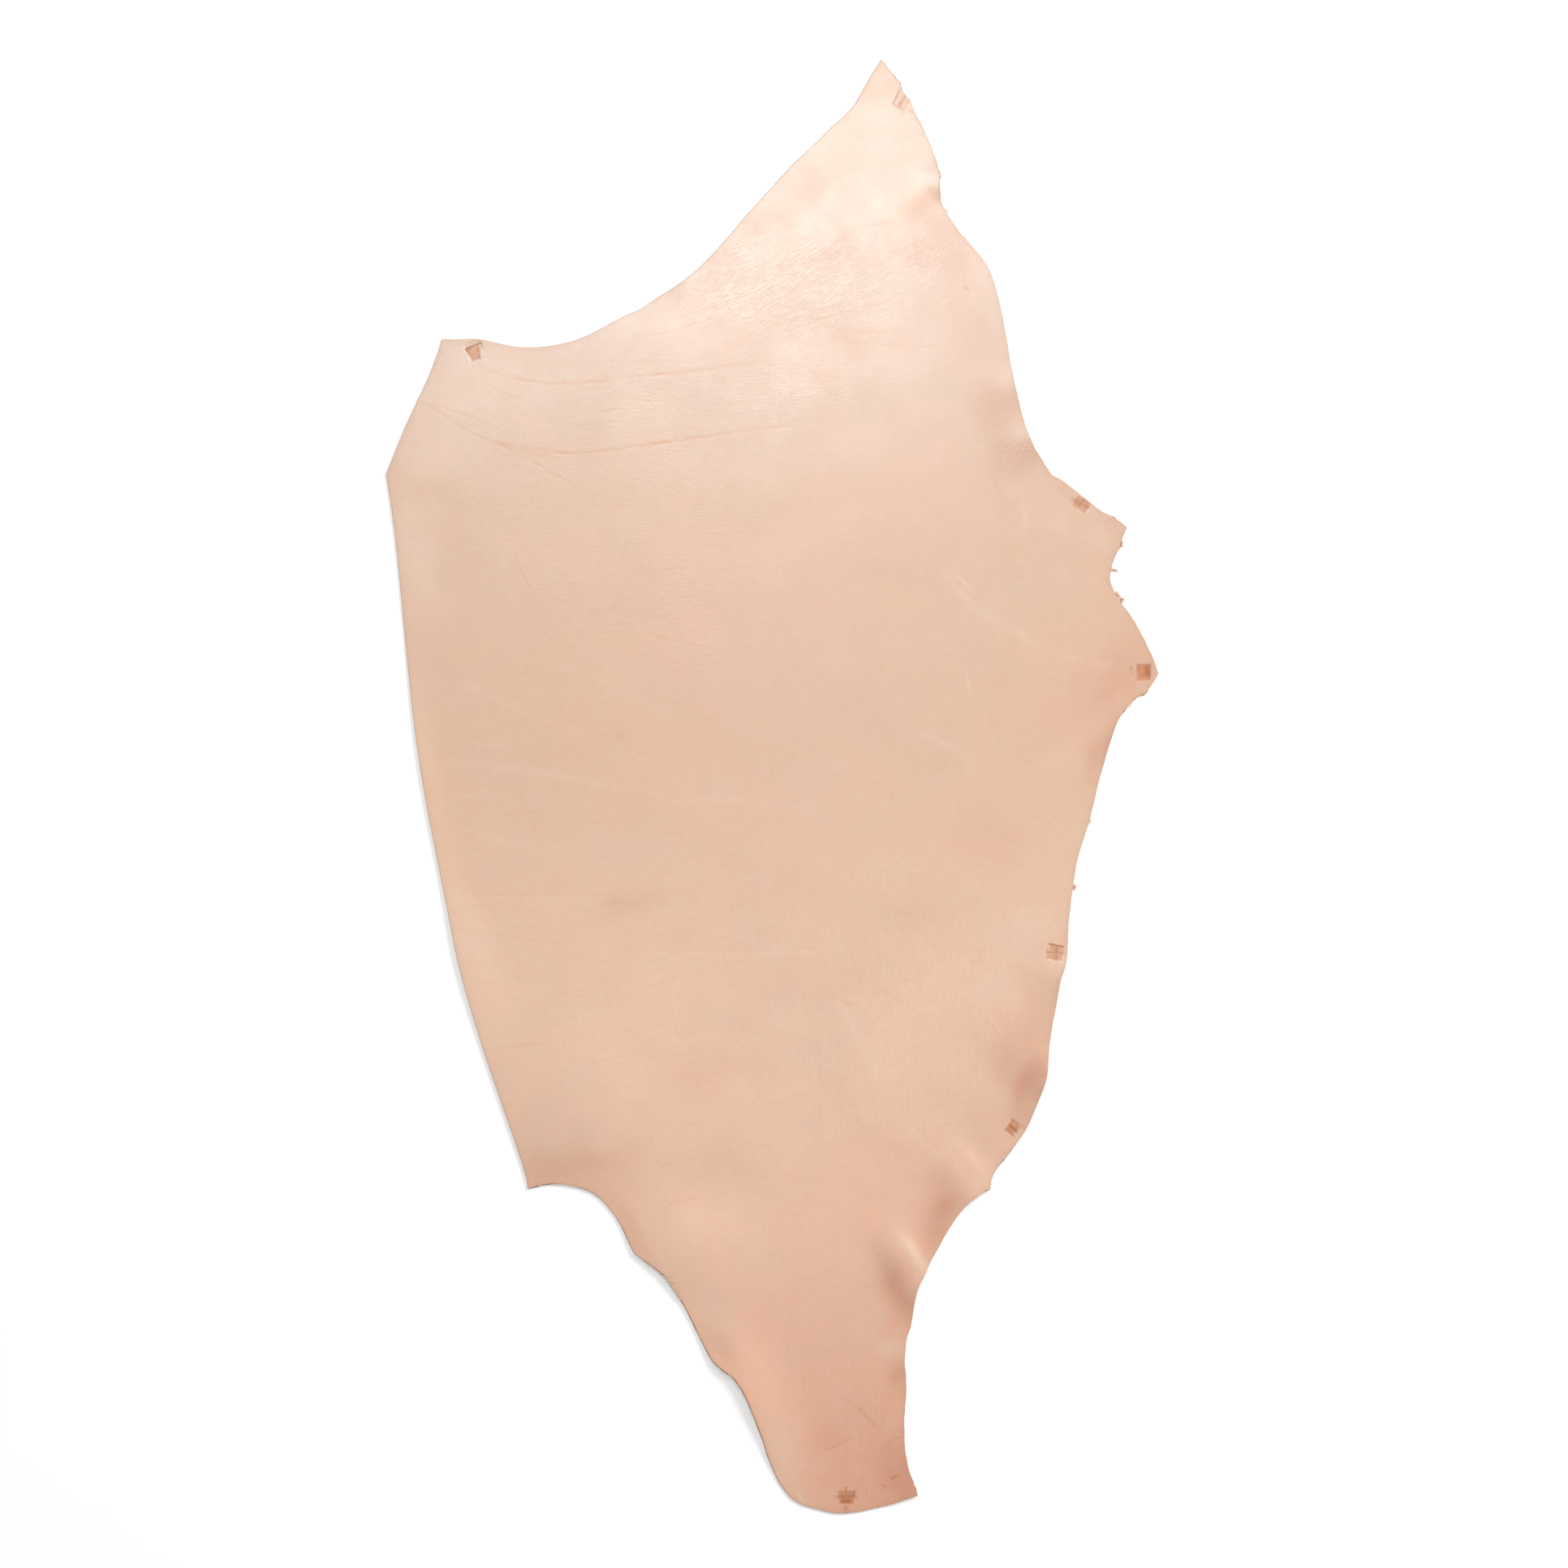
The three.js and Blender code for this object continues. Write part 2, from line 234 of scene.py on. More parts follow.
# Lines and bands that the clips' jaws pressed, from x, y to x2, y2.
JAW_LINES = table("x y x2 y2 width depth tone", [
    (-359, 512, -341.5, 519.3, 0.9, 0.4, 0.85),
    (-341.5, 519, -341, 514, 1.3, 0.2, 0.55),
    (-358.4, 511, -352.8, 498, 0.7, 0.2, 0.5),
    (-352.8, 498, -343, 501.5, 0.7, 0.1, 0.5),
    (-345, 504.5, -342, 500, 0.7, 0.1, 0.5),
    (149.4, 815.3, 141.5, 799, 0.7, 0.35, 0.5),
    (156.4, 809.4, 148.6, 797, 0.7, 0.3, 0.36),
    (157, 795.5, 153.5, 788, 0.7, 0.1, 0.22),
    (150.6, 801, 149.2, 796.5, 1.4, 0.1, 0.26),
    (353, 334.5, 369.5, 325.5, 2.4, 0.2, 0.42),
    (364.6, 334.8, 359.5, 327, 0.8, 0.3, 0.66),
    (373.6, 330.2, 365.2, 318.8, 0.6, 0.2, 0.45),
    (357.5, 339, 373.4, 330.4, 0.6, 0.1, 0.3),
    (426.5, 141.8, 443, 142.6, 0.7, 0.3, 0.6),
    (426.7, 141, 426.5, 124, 0.6, 0.2, 0.5),
    (439.5, 138.5, 439.3, 130.5, 3.4, 0.2, 0.6),
    (437.6, 140, 437.8, 129, 0.7, 0.2, 0.75),
    (420.4, 140, 419.9, 136.5, 0.6, 0.2, 0.5),
    (419.9, 136.5, 420.4, 133, 0.6, 0.2, 0.4),
    (323.9, -184.6, 340.5, -188, 0.9, 0.4, 0.9),
    (320.5, -194, 342.5, -196.6, 0.7, 0.25, 0.5),
    (332.4, -190, 332.2, -202.5, 1.9, 0.15, 0.5),
    (321.4, -189, 321.2, -203, 0.6, 0.1, 0.35),
    (321.4, -194, 322, -194.4, 1, 0.1, 0.85),
    (328.2, -200.8, 328.8, -201.4, 1, 0.1, 0.7),
    (280.3, -389.8, 288, -395, 0.9, 0.3, 0.7),
    (288, -395, 296, -401.7, 0.6, 0.2, 0.5),
    (278.8, -397.6, 284.4, -403.4, 1.1, 0.4, 0.95),
    (284.4, -403.4, 286.6, -405.6, 0.8, 0.3, 0.6),
    (272, -401, 283, -410, 0.7, 0.1, 0.45),
    (76.8, -825.8, 96.6, -825, 0.7, 0.2, 0.6),
    (77.4, -831.8, 95.8, -831.4, 2.2, 0.25, 0.45),
    (85.6, -822.4, 85.9, -826, 0.8, 0.3, 0.7),
    (85.7, -826, 85.8, -840, 0.6, 0.2, 0.3),
    (95.8, -825, 95.7, -831.5, 0.8, 0.2, 0.8),
    (82, -837, 90, -837, 2.6, 0.1, 0.66),
    (85.6, -844, 85.8, -848, 2.8, 0.1, 0.35),
])

# Loose fibres on the cut edge: how many, how long, which way they point, how far they fan to each
# side of that, how thick they are, how high up the cut they start, and whether they are pale.
FIBRES = table("x y count length turn fan thick high pale", [
    (197.5, 716, 13, 6, 16, 75, 0.5, 0.5, 0),
    (205.5, 672, 8, 6, 25, 60, 0.45, 0.5, 0),
    (225, 642, 4, 4, 40, 40, 0.4, 0.5, 0),
    (245.5, 621, 3, 5, 35, 50, 0.3, 0.5, 0),
    (405.5, 284, 24, 6, 25, 60, 0.7, 0.7, 0),
    (400, 265, 3, 6, 0, 20, 0.3, 0.6, 0),
    (397, 255, 5, 11, -14, 5, 1.1, 0.9, 0),
    (397, 255, 4, 12, -27, 5, 1.0, 0.9, 0),
    (404, 226, 12, 7, 40, 70, 0.8, 0.9, 0),
    (408, 218, 18, 8, 15, 75, 0.7, 0.9, 0),
    (405, 225, 9, 8, 30, 60, 0.7, 0.7, 1),
    (371.5, -41, 5, 4, -16, 50, 0.35, 0.5, 0),
    (353.5, -118, 16, 7, -9, 60, 0.42, 0.5, 0),
    (347.5, -170, 5, 4, -5, 80, 0.3, 0.5, 0),
    (167, -820, 7, 4, -8, 60, 0.3, 0.5, 0),
    (-121, -578, 26, 4, -130, 80, 0.6, 0.95, 1),
    (-115, -586, 30, 5, -130, 80, 0.6, 0.95, 1),
    (-109, -594, 22, 4, -135, 80, 0.6, 0.95, 1),
    (-117, -583, 8, 4, -135, 60, 0.6, 1.0, 0),
    (-108, -594, 6, 4, -120, 40, 0.6, 1.0, 0),
    (-254, -466, 4, 4, -100, 50, 0.3, 0.8, 1),
])

FIBRE_STEPS = 6  # lengths of tube in a fibre
FIBRE_REST = 0.3  # a drooping fibre comes to rest this far above the surface
FIBRE_TIP = 0.75  # how much of its thickness it loses by its tip
FIBRE_FLATNESS = 0.55  # its height as a share of its width
FIBRE_TURNS = [math.radians(turn) for turn in (90, 210, 330)]

# Colour of the grain side along the hide, from the lower shank to the upper one. It is partly the leather's
# own tone and partly painted light: paler and cooler towards the upper shank as painted sheen, and deeper
# towards the lower shank where less light falls.
TONES = table("y colour", [
    (-820, (237, 173, 141)),
    (-700, (246, 187, 156)),
    (-560, (250, 205, 176)),
    (-250, (249, 210, 181)),
    (50, (231, 193, 163)),
    (330, (225, 190, 163)),
    (450, (224, 197, 176)),
    (600, (233, 207, 189)),
    (750, (238, 209, 190)),
    (840, (236, 203, 178)),
])

# Larger patches of other tones, in the order in which they lie over each other. Some are the leather's own
# tone, some are painted shade where a wave's slope faces away from the light, and some are painted sheen and
# highlights. PATCH_COLUMNS names the columns of a patch.
PATCH_COLUMNS = "x y along across turn share"
TONE_PATCHES = table("tone places", [
    # Painted shade on the dark slopes of the waves along the lower edges.
    ("tanned", [
        (-245, -445, 75, 38, 5, 0.5), (305, -352, 42, 20, 65, 0.95), (285, -330, 40, 24, 135, 0.25),
        (255, -400, 170, 50, 60, 0.12), (190, -514, 48, 22, 70, 0.75), (200, -487, 5, 4, 20, 0.3)]),
    # Painted shade, deep red, on the dark side of the ridge by the lower cheek.
    ("flushed", [(148, -592, 52, 22, 105, 0.85)]),
    ("rosy", [(130, -510, 100, 110, 0, 0.35), (30, -720, 110, 110, 0, 0.3)]),
    # Mostly painted shade beside the waves of the edge, one of them over the lit side of the wave below the
    # neck, with some of the leather's own deeper tan.
    ("tanned", [
        (155, -800, 62, 24, 95, 0.42), (70, -762, 24, 20, 80, 0.2), (400, 112, 85, 50, 60, 0.3),
        (400, 112, 22, 16, 70, 0.25), (390, 55, 44, 12, 65, 0.45), (345, -235, 40, 16, 85, 0.4),
        (300, -290, 50, 26, 60, 0.3), (300, 404, 5, 4, 150, 0.3), (342, 345, 10, 7, 150, 0.2),
        (398, 308, 12, 8, 150, 0.25), (140, 842, 26, 14, 60, 0.12)]),
    # Painted shade, warm, in the notch of the upper cheek.
    ("flushed", [(297, 398, 13, 9, 150, 0.2)]),
    # Mostly painted shade on the dark sides of waves along the edges, with some of the leather's own deeper
    # tan.
    ("tanned", [
        (148, -693, 24, 12, 90, 0.4), (258, -60, 46, 22, 175, 0.12), (144, 820, 14, 7, 120, 0.2),
        (245, 537, 8, 6, 100, 0.2), (3, 696, 5, 4, 45, 0.3), (-170, -515, 50, 14, 125, 0.35),
        (300, -237, 30, 10, 120, 0.15), (303, -355, 24, 14, 65, 0.5), (199, -505, 24, 13, 70, 0.45),
        (150, -590, 22, 12, 80, 0.15), (268, 425, 60, 18, 97, 0.12), (188, 694, 20, 12, 36, 0.5)]),
    ("brown", [
        (-60, -450, 60, 36, 0, 0.25), (5, 668, 65, 22, 45, 0.3), (207, 642, 46, 20, 122, 0.4),
        (75, 632, 40, 12, 40, 0.25), (120, 523, 50, 14, 175, 0.25), (263, 446, 30, 24, 170, 0.8),
        (262, 400, 90, 24, 97, 0.15), (280, 386, 31, 22, 155, 0.75), (-280, -300, 90, 110, 0, 0.12),
        (232, 560, 90, 38, 100, 0.35), (220, 450, 60, 34, 90, 0.12), (-178, 57, 9, 8, 0, 0.25),
        (268, -322, 32, 12, 135, 0.3), (-60, -660, 40, 18, 125, 0.55), (-164, -137, 42, 14, 10, 0.25)]),
    ("pink", [
        (134, 826, 26, 16, 60, 0.25), (258, -60, 55, 34, 160, 0.35), (60, -222, 95, 28, 5, 0.25),
        (-70, -330, 60, 22, 10, 0.25), (150, -430, 120, 36, 145, 0.3), (243, -410, 24, 16, 130, 0.4),
        (40, -640, 110, 70, 90, 0.25), (337, 72, 40, 30, 60, 0.3), (296, 160, 34, 22, 150, 0.25),
        (375, 118, 26, 24, 60, 0.25), (375, 252, 30, 18, 90, 0.35), (237, -40, 26, 20, 0, 0.25)]),
    # The last of these is painted shade beside the wave on the side of the upper shank.
    ("ochre", [
        (60, 730, 40, 16, 48, 0.25), (-268, -425, 50, 26, 0, 0.3), (-130, -520, 90, 26, 125, 0.2),
        (120, -630, 60, 34, 90, 0.25), (182, 690, 32, 14, 36, 0.85)]),
    # Painted shade beside the wave on the side of the upper shank.
    ("tanned", [(186, 692, 22, 10, 40, 0.2)]),
    ("ochre", [
        (160, -142, 55, 24, 5, 0.3), (180, 30, 40, 22, 150, 0.25), (260, 165, 40, 20, 150, 0.2),
        (85, -330, 34, 24, 120, 0.2), (-300, 20, 110, 90, 90, 0.15), (-362, 290, 110, 16, 88, 0.2)]),
    # Painted sheen along the left edge.
    ("pale", [(-418, 275, 76, 27, 95, 0.5)]),
    ("brown", [(-395, 346, 58, 18, 168, 0.25)]),
    # Partly the leather's own paler tone, partly painted sheen on the wing, and one near the upper edge is
    # painted light over the shade of a wave.
    ("pale", [
        (-345, 475, 80, 50, 10, 0.65), (-385, 400, 70, 50, 20, 0.4), (-320, 320, 150, 130, 0, 0.16),
        (-112, 583, 18, 11, 35, 0.35), (333, 302, 20, 14, 150, 0.25), (371, 293, 16, 12, 90, 0.25),
        (290, -175, 34, 30, 0, 0.25), (340, 40, 34, 20, 60, 0.25), (265, -240, 20, 18, 0, 0.3),
        (142, -655, 12, 9, 0, 0.4), (-220, -410, 60, 20, 5, 0.3)]),
    ("light", [(10, -780, 70, 30, 110, 0.45)]),
    # The two by the left edge and by the left of the lower shank are painted shade over lit slopes of waves;
    # the rest change the leather's tone.
    ("cool", [
        (195, 405, 112, 42, 92, 0.15), (40, 60, 150, 110, 100, 0.3), (-90, 150, 120, 80, 20, 0.2),
        (-66, -610, 46, 14, 125, 0.35), (-355, -200, 120, 26, 103, 0.15)]),
    # The first is a painted highlight along the ridge by the lower cheek.
    ("light", [(166, -549, 26, 8, 124, 0.65), (90, -320, 130, 110, 0, 0.12)]),
])
PATCH_DRIFT, DRIFT_SIZE = 14, 40  # how far the patches' outlines wander, and over what distance

# Mottling, from broad clouds to flecks: which way each runs, its colour, the most of it that shows,
# and a number that gives it places of its own.
CLOUDS = table("size turn colour share seed", [
    (240, 20, (244, 192, 168), 0.3, 1),
    (170, 140, (225, 196, 174), 0.3, 2),
    (70, 145, (242, 189, 161), 0.19, 3),
    (55, 10, (228, 199, 180), 0.19, 4),
    (24, 8, (238, 187, 156), 0.16, 5),
    (16, 60, (238, 205, 186), 0.16, 6),
    (6, 8, (216, 168, 140), 0.14, 7),
])
# The deep tan, flushed and cool colours also serve as painted shade, and the pale and light ones as painted
# sheen and highlight.
PATCH_COLOURS = {
    "tanned": (203, 127, 92),
    "pink": (234, 184, 160),
    "ochre": (222, 184, 150),
    "brown": (206, 164, 134),
    "pale": (244, 220, 200),
    "cool": (232, 198, 180),
    "light": (255, 228, 202),
    "flushed": (214, 130, 90),
    "rosy": (255, 190, 158),
}

# Fine wrinkles: which way they run, their size, how deep and how dark they are, and where they lie,
# each patch with its half width, half height and strength.
WRINKLES = table("name turn along across depth shade patches", [
    ("wrinkle_level", 4, 28, 4, 0.04, 0.12, [
        (-200, 300, 280, 260, 0.8), (-180, -100, 260, 280, 0.6), (-60, 460, 260, 60, 0.9)]),
    ("wrinkle_rising", 27, 26, 5, 0.05, 0.15, [(30, 585, 190, 90, 1.0), (160, 620, 90, 70, 0.7)]),
    ("wrinkle_upright", 88, 60, 3, 0.1, 0.2, [
        (108, -770, 46, 100, 1.0), (60, -690, 60, 80, 0.5), (150, -280, 220, 220, 0.5),
        (48, 714, 24, 30, 0.2)]),
    ("wrinkle_pebbled", 20, 8, 6, 0.05, 0.4, [
        (287, 388, 30, 26, 1.0), (267, 446, 30, 24, 0.4), (180, 622, 34, 30, 0.8), (165, -575, 30, 40, 0.5),
        (75, -740, 90, 100, 0.35)]),
])
WRINKLE_COLOUR = (212, 156, 126)
FINE_COLOUR, FINE_SHARE = (212, 166, 138), 0.12  # the finest flecks of the grain
WORN_COLOUR, WORN_SHARE = (200, 152, 120), 0.14  # where the edge is handled
FINE_DEPTH, PORE_DEPTH = 0.018, 0.012

# Colours of the marks on the grain, by the field that says where they are.
MARK_TONES = table("field colour", [
    ("pale", (252, 230, 210)),
    # painted shade in the creases' grooves, with their own darker colour
    ("crease", (222, 160, 116)),
    ("stain", (198, 112, 40)),
    ("pressed", (154, 84, 44)),
    # partly painted shade along the cut
    ("rim", (172, 122, 94)),
])
GLAZE = (0.26, 0.34)  # roughness of the glazed grain, smoothest and roughest
DULLED = 0.12  # how much rougher the grain is where it is stained

# Napped fibre: its two tones, and how deep its nap is.
NAPPED = table("name light dark nap", [
    ("cut_edge", (188, 140, 110), (140, 96, 70), 0.25),
    ("leather_flesh", (252, 230, 204), (234, 200, 170), 0.5),
    ("loose_fibre", (232, 166, 122), (170, 104, 68), 0.1),
    ("pale_fibre", (255, 238, 216), (236, 202, 172), 0.1),
])

# Soft lights, in metres and watts, and how bright the white round the leather is.
LAMPS = table("name at aim size power colour", [
    ("key", (4.26, 3.34, 5.05), (0, 0, 0), (3.2, 3.2), 285, (1.0, 0.99, 0.98)),
    ("overhead", (-0.03, 1.16, 3.0), (-0.03, 0.6, 0), (0.8, 0.74), 24.5, (1.0, 1.0, 1.0)),
])
WORLD_LEVEL = 0.36
FLOOR_WHITE, FLOOR_GLOW = 0.95, 0.3
FLOOR_HALF, FLOOR_LEVEL = 4000, -0.3  # half the floor's width, and how far it lies below the leather

# How the photographer's camera stands over the leather, in metres, and its sensor in millimetres.
CAMERA_AT = (0.0135, 0.0027, 4.2)
VIEW_WIDTH = 1.8354
SENSOR = 36.0


# ------------ the solid, read from the frame

def read_solid():
    """The grain side's corners, the cut edge in order, anticlockwise, and the thickness."""
    solid = bmesh.new()
    solid.from_mesh(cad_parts[SHEET_NODE].data)
    bmesh.ops.remove_doubles(solid, verts=solid.verts, dist=WELD * MM)
    following = {}
    corners = {}
    for face in solid.faces:
        if face.normal.z < UPRIGHT:
            continue
        for loop in face.loops:
            corners[loop.vert.index] = loop.vert.co / MM
            if loop.link_loop_radial_next.face.normal.z < UPRIGHT:
                following[loop.vert.index] = loop.link_loop_next.vert.index
    solid.free()
    rim = [next(iter(following))]
    while following[rim[-1]] != rim[0]:
        rim.append(following[rim[-1]])
    places = np.array([corner[:] for corner in corners.values()])
    edge = np.array([corners[index][:2] for index in rim])
    return places, edge, places[:, 2].min()


def thin_plate(places, heights):
    """A height function for a thin plate bent through the given heights."""
    scale = np.abs(places).max()
    known = places / scale

    def bending(points):
        gap = ((points[:, None, :] - known[None, :, :]) ** 2).sum(axis=2)
        return gap * np.log(gap + 1e-12)

    count = len(known)
    flat = np.column_stack([np.ones(count), known])
    system = np.block([[bending(known), flat], [flat.T, np.zeros((3, 3))]])
    weights = np.linalg.solve(system, np.concatenate([heights, np.zeros(3)]))

    def height_at(points):
        parts = []
        for block in np.array_split(points / scale, len(points) // 4000 + 1):
            tilt = weights[count] + block @ weights[count + 1:]
            parts.append(bending(block) @ weights[:count] + tilt)
        return np.concatenate(parts)

    return height_at


# ------------ small helpers

def linear(red, green, blue):
    """A colour given as it shows, 0 to 255, as the linear values that a shader takes."""
    parts = []
    for level in (red, green, blue):
        level /= 255
        parts.append(level / 12.92 if level <= 0.04045 else ((level + 0.055) / 1.055) ** 2.4)
    return (*parts, 1.0)


def spline(before, start, end, after, steps):
    """The start and the further points, short of the end, of `steps` on a Catmull-Rom curve."""
    return [
        0.5 * (
            2 * start
            + (end - before) * share
            + (2 * before - 5 * start + 4 * end - after) * share ** 2
            + (3 * start - before - 3 * end + after) * share ** 3
        )
        for share in (step / steps for step in range(steps))
    ]


def is_corner(before, point, after):
    a, b = point - before, after - point
    turn = math.atan2(a[0] * b[1] - a[1] * b[0], a @ b)
    return abs(turn) > CORNER_TURN


def smooth_outline(edge):
    """Closely spaced points along the edge, on a curve that turns sharply only at corners."""
    count = len(edge)
    sharp = [is_corner(edge[i - 1], edge[i], edge[(i + 1) % count]) for i in range(count)]
    points = []
    for i in range(count):
        start, end = edge[i], edge[(i + 1) % count]
        before = 2 * start - end if sharp[i] else edge[i - 1]
        after = 2 * end - start if sharp[(i + 1) % count] else edge[(i + 2) % count]
        steps = max(1, round(np.linalg.norm(end - start) / RIM_STEP))
        points += spline(before, start, end, after, steps)
    return np.array(points)


def outward_normals(outline):
    along = np.roll(outline, -1, axis=0) - np.roll(outline, 1, axis=0)
    along /= np.linalg.norm(along, axis=1)[:, None]
    return np.column_stack([along[:, 1], -along[:, 0]])


def near(points, row):
    """1 at the row's place, fading to nothing past its reach."""
    gap = np.hypot(points[:, 0] - row["x"], points[:, 1] - row["y"])
    return np.exp(-(gap / row["reach"]) ** 2)


def noise_at(points, size, seed=0.0):
    """Smooth noise from about -1 to 1, with bumps about `size` across."""
    return np.array([noise.noise(Vector((x / size, y / size, seed))) for x, y in points])


def smoothstep(low, high, value):
    share = np.clip((value - low) / (high - low), 0, 1)
    return share * share * (3 - 2 * share)


def ragged(outline):
    """The outline as the knife left it: nearly clean along the back, rougher at the neck."""
    rough = SMOOTH_CUT + (ROUGH_CUT - SMOOTH_CUT) * smoothstep(-220, 150, outline[:, 0])
    out = rough * (noise_at(outline, 16) + 0.6 * noise_at(outline, 5, 3.0))
    for nick in NICKS:
        out += nick["out"] * near(outline, nick)
    return outline + out[:, None] * outward_normals(outline)


# ------------ relief of the grain side

def turned(points, row):
    """Distances of the points from the row's place, along its turn and across it."""
    turn = math.radians(row["turn"])
    right, up = points[:, 0] - row["x"], points[:, 1] - row["y"]
    along = right * math.cos(turn) + up * math.sin(turn)
    across = up * math.cos(turn) - right * math.sin(turn)
    return along, across


def oval(points, row):
    """1 at the middle of the row's turned oval, fading to nothing past its edge."""
    along, across = turned(points, row)
    return np.exp(-((along / row["along"]) ** 2) - (across / row["across"]) ** 2)


def fold_height(points):
    height = np.zeros(len(points))
    for fold in FOLDS:
        height += fold["rise"] * oval(points, fold)
    return height


def curve_course(curve):
    """Points every CREASE_STEP along a crease or streak, and the direction there."""
    through = [np.array(point, float) for point in curve["through"]]
    through = [2 * through[0] - through[1], *through, 2 * through[-1] - through[-2]]
    points = []
    for before, start, end, after in zip(through, through[1:], through[2:], through[3:]):
        steps = max(2, round(np.linalg.norm(end - start) / CREASE_STEP))
        points += spline(before, start, end, after, steps)
    points = np.array([*points, through[-2]])
    along = np.gradient(points, axis=0)
    return points, along / np.linalg.norm(along, axis=1)[:, None]


def along_course(points, row, reach):
    """Which points are near a curve, how many of its widths away, and how strong it is there."""
    course, _ = curve_course(row)
    margin = reach * row["width"]
    low, high = course.min(axis=0) - margin, course.max(axis=0) + margin
    close = np.flatnonzero(((points > low) & (points < high)).all(axis=1))
    gaps = np.linalg.norm(points[close, None, :] - course[None, :, :], axis=2)
    nearest = gaps.argmin(axis=1)
    ends = np.sin(math.pi * np.linspace(0.02, 0.98, len(course))) ** 0.6
    strength = ends * np.clip(0.72 + 0.8 * noise_at(course, 18, 9.0), 0.1, 1.2)
    return close, gaps.min(axis=1) / row["width"], strength[nearest]


def crease_relief(points, crease):
    """How far a crease sinks the grain, with the soft swell beside it, and how dark it is."""
    relief, shade = np.zeros(len(points)), np.zeros(len(points))
    close, gap, strength = along_course(points, crease, 5)
    groove, swell = np.exp(-gap ** 2), np.exp(-((gap - 2.3) / 1.5) ** 2)
    relief[close] = crease["depth"] * strength * (0.35 * swell - groove)
    # Painted shade in the groove, with the crease's own darker colour.
    shade[close] = crease["tone"] * strength * groove
    return relief, shade


def streak_share(points):
    """How pale each point is for the stretch marks."""
    pale = np.zeros(len(points))
    for streak in STREAKS:
        close, gap, strength = along_course(points, streak, 3)
        pale[close] = np.maximum(pale[close], streak["tone"] * strength * np.exp(-gap ** 2))
    return pale


def line_share(points, line):
    """1 on a straight line from x, y to x2, y2, fading across its width."""
    start, end = np.array([line["x"], line["y"]]), np.array([line["x2"], line["y2"]])
    along = end - start
    share = np.clip((points - start) @ along / (along @ along), 0, 1)
    gap = np.linalg.norm(points - start - share[:, None] * along, axis=1)
    return np.exp(-(gap / line["width"]) ** 2)


def mark_share(points, mark):
    """1 inside a clip mark, 0 outside, with an edge about a millimetre soft."""
    along, across = turned(points, mark)
    down = np.clip(0.5 - across / mark["length"], 0, 1)
    half_width = (mark["width"] + (mark["foot"] - mark["width"]) * down) / 2
    inside = np.minimum(half_width - np.abs(along), mark["length"] / 2 - np.abs(across))
    return smoothstep(-0.6, 0.9, inside)


def grain_relief(points):
    """Height that the grain's creases and marks add, and the fields that its material reads."""
    relief, crease_shade = np.zeros(len(points)), np.zeros(len(points))
    for crease in CREASES:
        sunk, shade = crease_relief(points, crease)
        relief += sunk
        crease_shade += shade
    stain = np.zeros(len(points))
    for mark in CLIP_MARKS:
        share = mark_share(points, mark)
        patchy = 0.9 + 0.4 * noise_at(points, 5, mark["x"]) if share.any() else 1
        relief -= PRESS_DEPTH * share
        stain = np.maximum(stain, mark["tone"] * share * patchy)
    for line in SCRATCHES:
        stain = np.maximum(stain, line["tone"] * line_share(points, line))
    pressed = np.zeros(len(points))
    for line in JAW_LINES:
        share = line_share(points, line)
        relief -= line["depth"] * share
        pressed = np.maximum(pressed, line["tone"] * share)
    fields = {"crease": crease_shade, "stain": stain, "pressed": pressed, "pale": streak_share(points)}
    fields.update({row["name"]: patch_share(points, row["patches"]) for row in WRINKLES})
    return relief, fields


def grain_tone(points):
    """The leather's colour at each point, with its painted sheen and shade, before the fine mottling and the
    marks.
    """
    heights = [stop["y"] for stop in TONES]
    stops = np.array([linear(*stop["colour"]) for stop in TONES])
    tone = np.column_stack([np.interp(points[:, 1], heights, stops[:, part]) for part in range(4)])
    drift = np.column_stack([noise_at(points, DRIFT_SIZE, seed) for seed in (11.0, 12.0)])
    for group in TONE_PATCHES:
        colour = np.array(linear(*PATCH_COLOURS[group["tone"]]))
        for patch in table(PATCH_COLUMNS, group["places"]):
            share = patch["share"] * oval(points + PATCH_DRIFT * drift, patch)
            tone += share[:, None] * (colour - tone)
    return tone


def patch_share(points, patches):
    """The strength of the strongest patch at each point, fading at the patch's edge."""
    share = np.zeros(len(points))
    for x, y, half_width, half_height, strength in patches:
        gap = np.hypot((points[:, 0] - x) / half_width, (points[:, 1] - y) / half_height)
        share = np.maximum(share, strength * (1 - smoothstep(0.4, 1.2, gap)))
    return share


# ------------ the sheet's mesh

def lattice(low, high, step):
    """Staggered rows of points over a box, a little out of line so that no grid shows."""
    rows = np.arange(low[1], high[1], step * math.sqrt(3) / 2)
    columns = np.arange(low[0], high[0], step)
    x, y = np.meshgrid(columns, rows)
    x += step / 2 * (np.arange(len(rows)) % 2)[:, None]
    points = np.column_stack([x.ravel(), y.ravel()])
    shaken = np.random.default_rng(SEED).uniform(-SHAKE, SHAKE, points.shape)
    return points + step * shaken


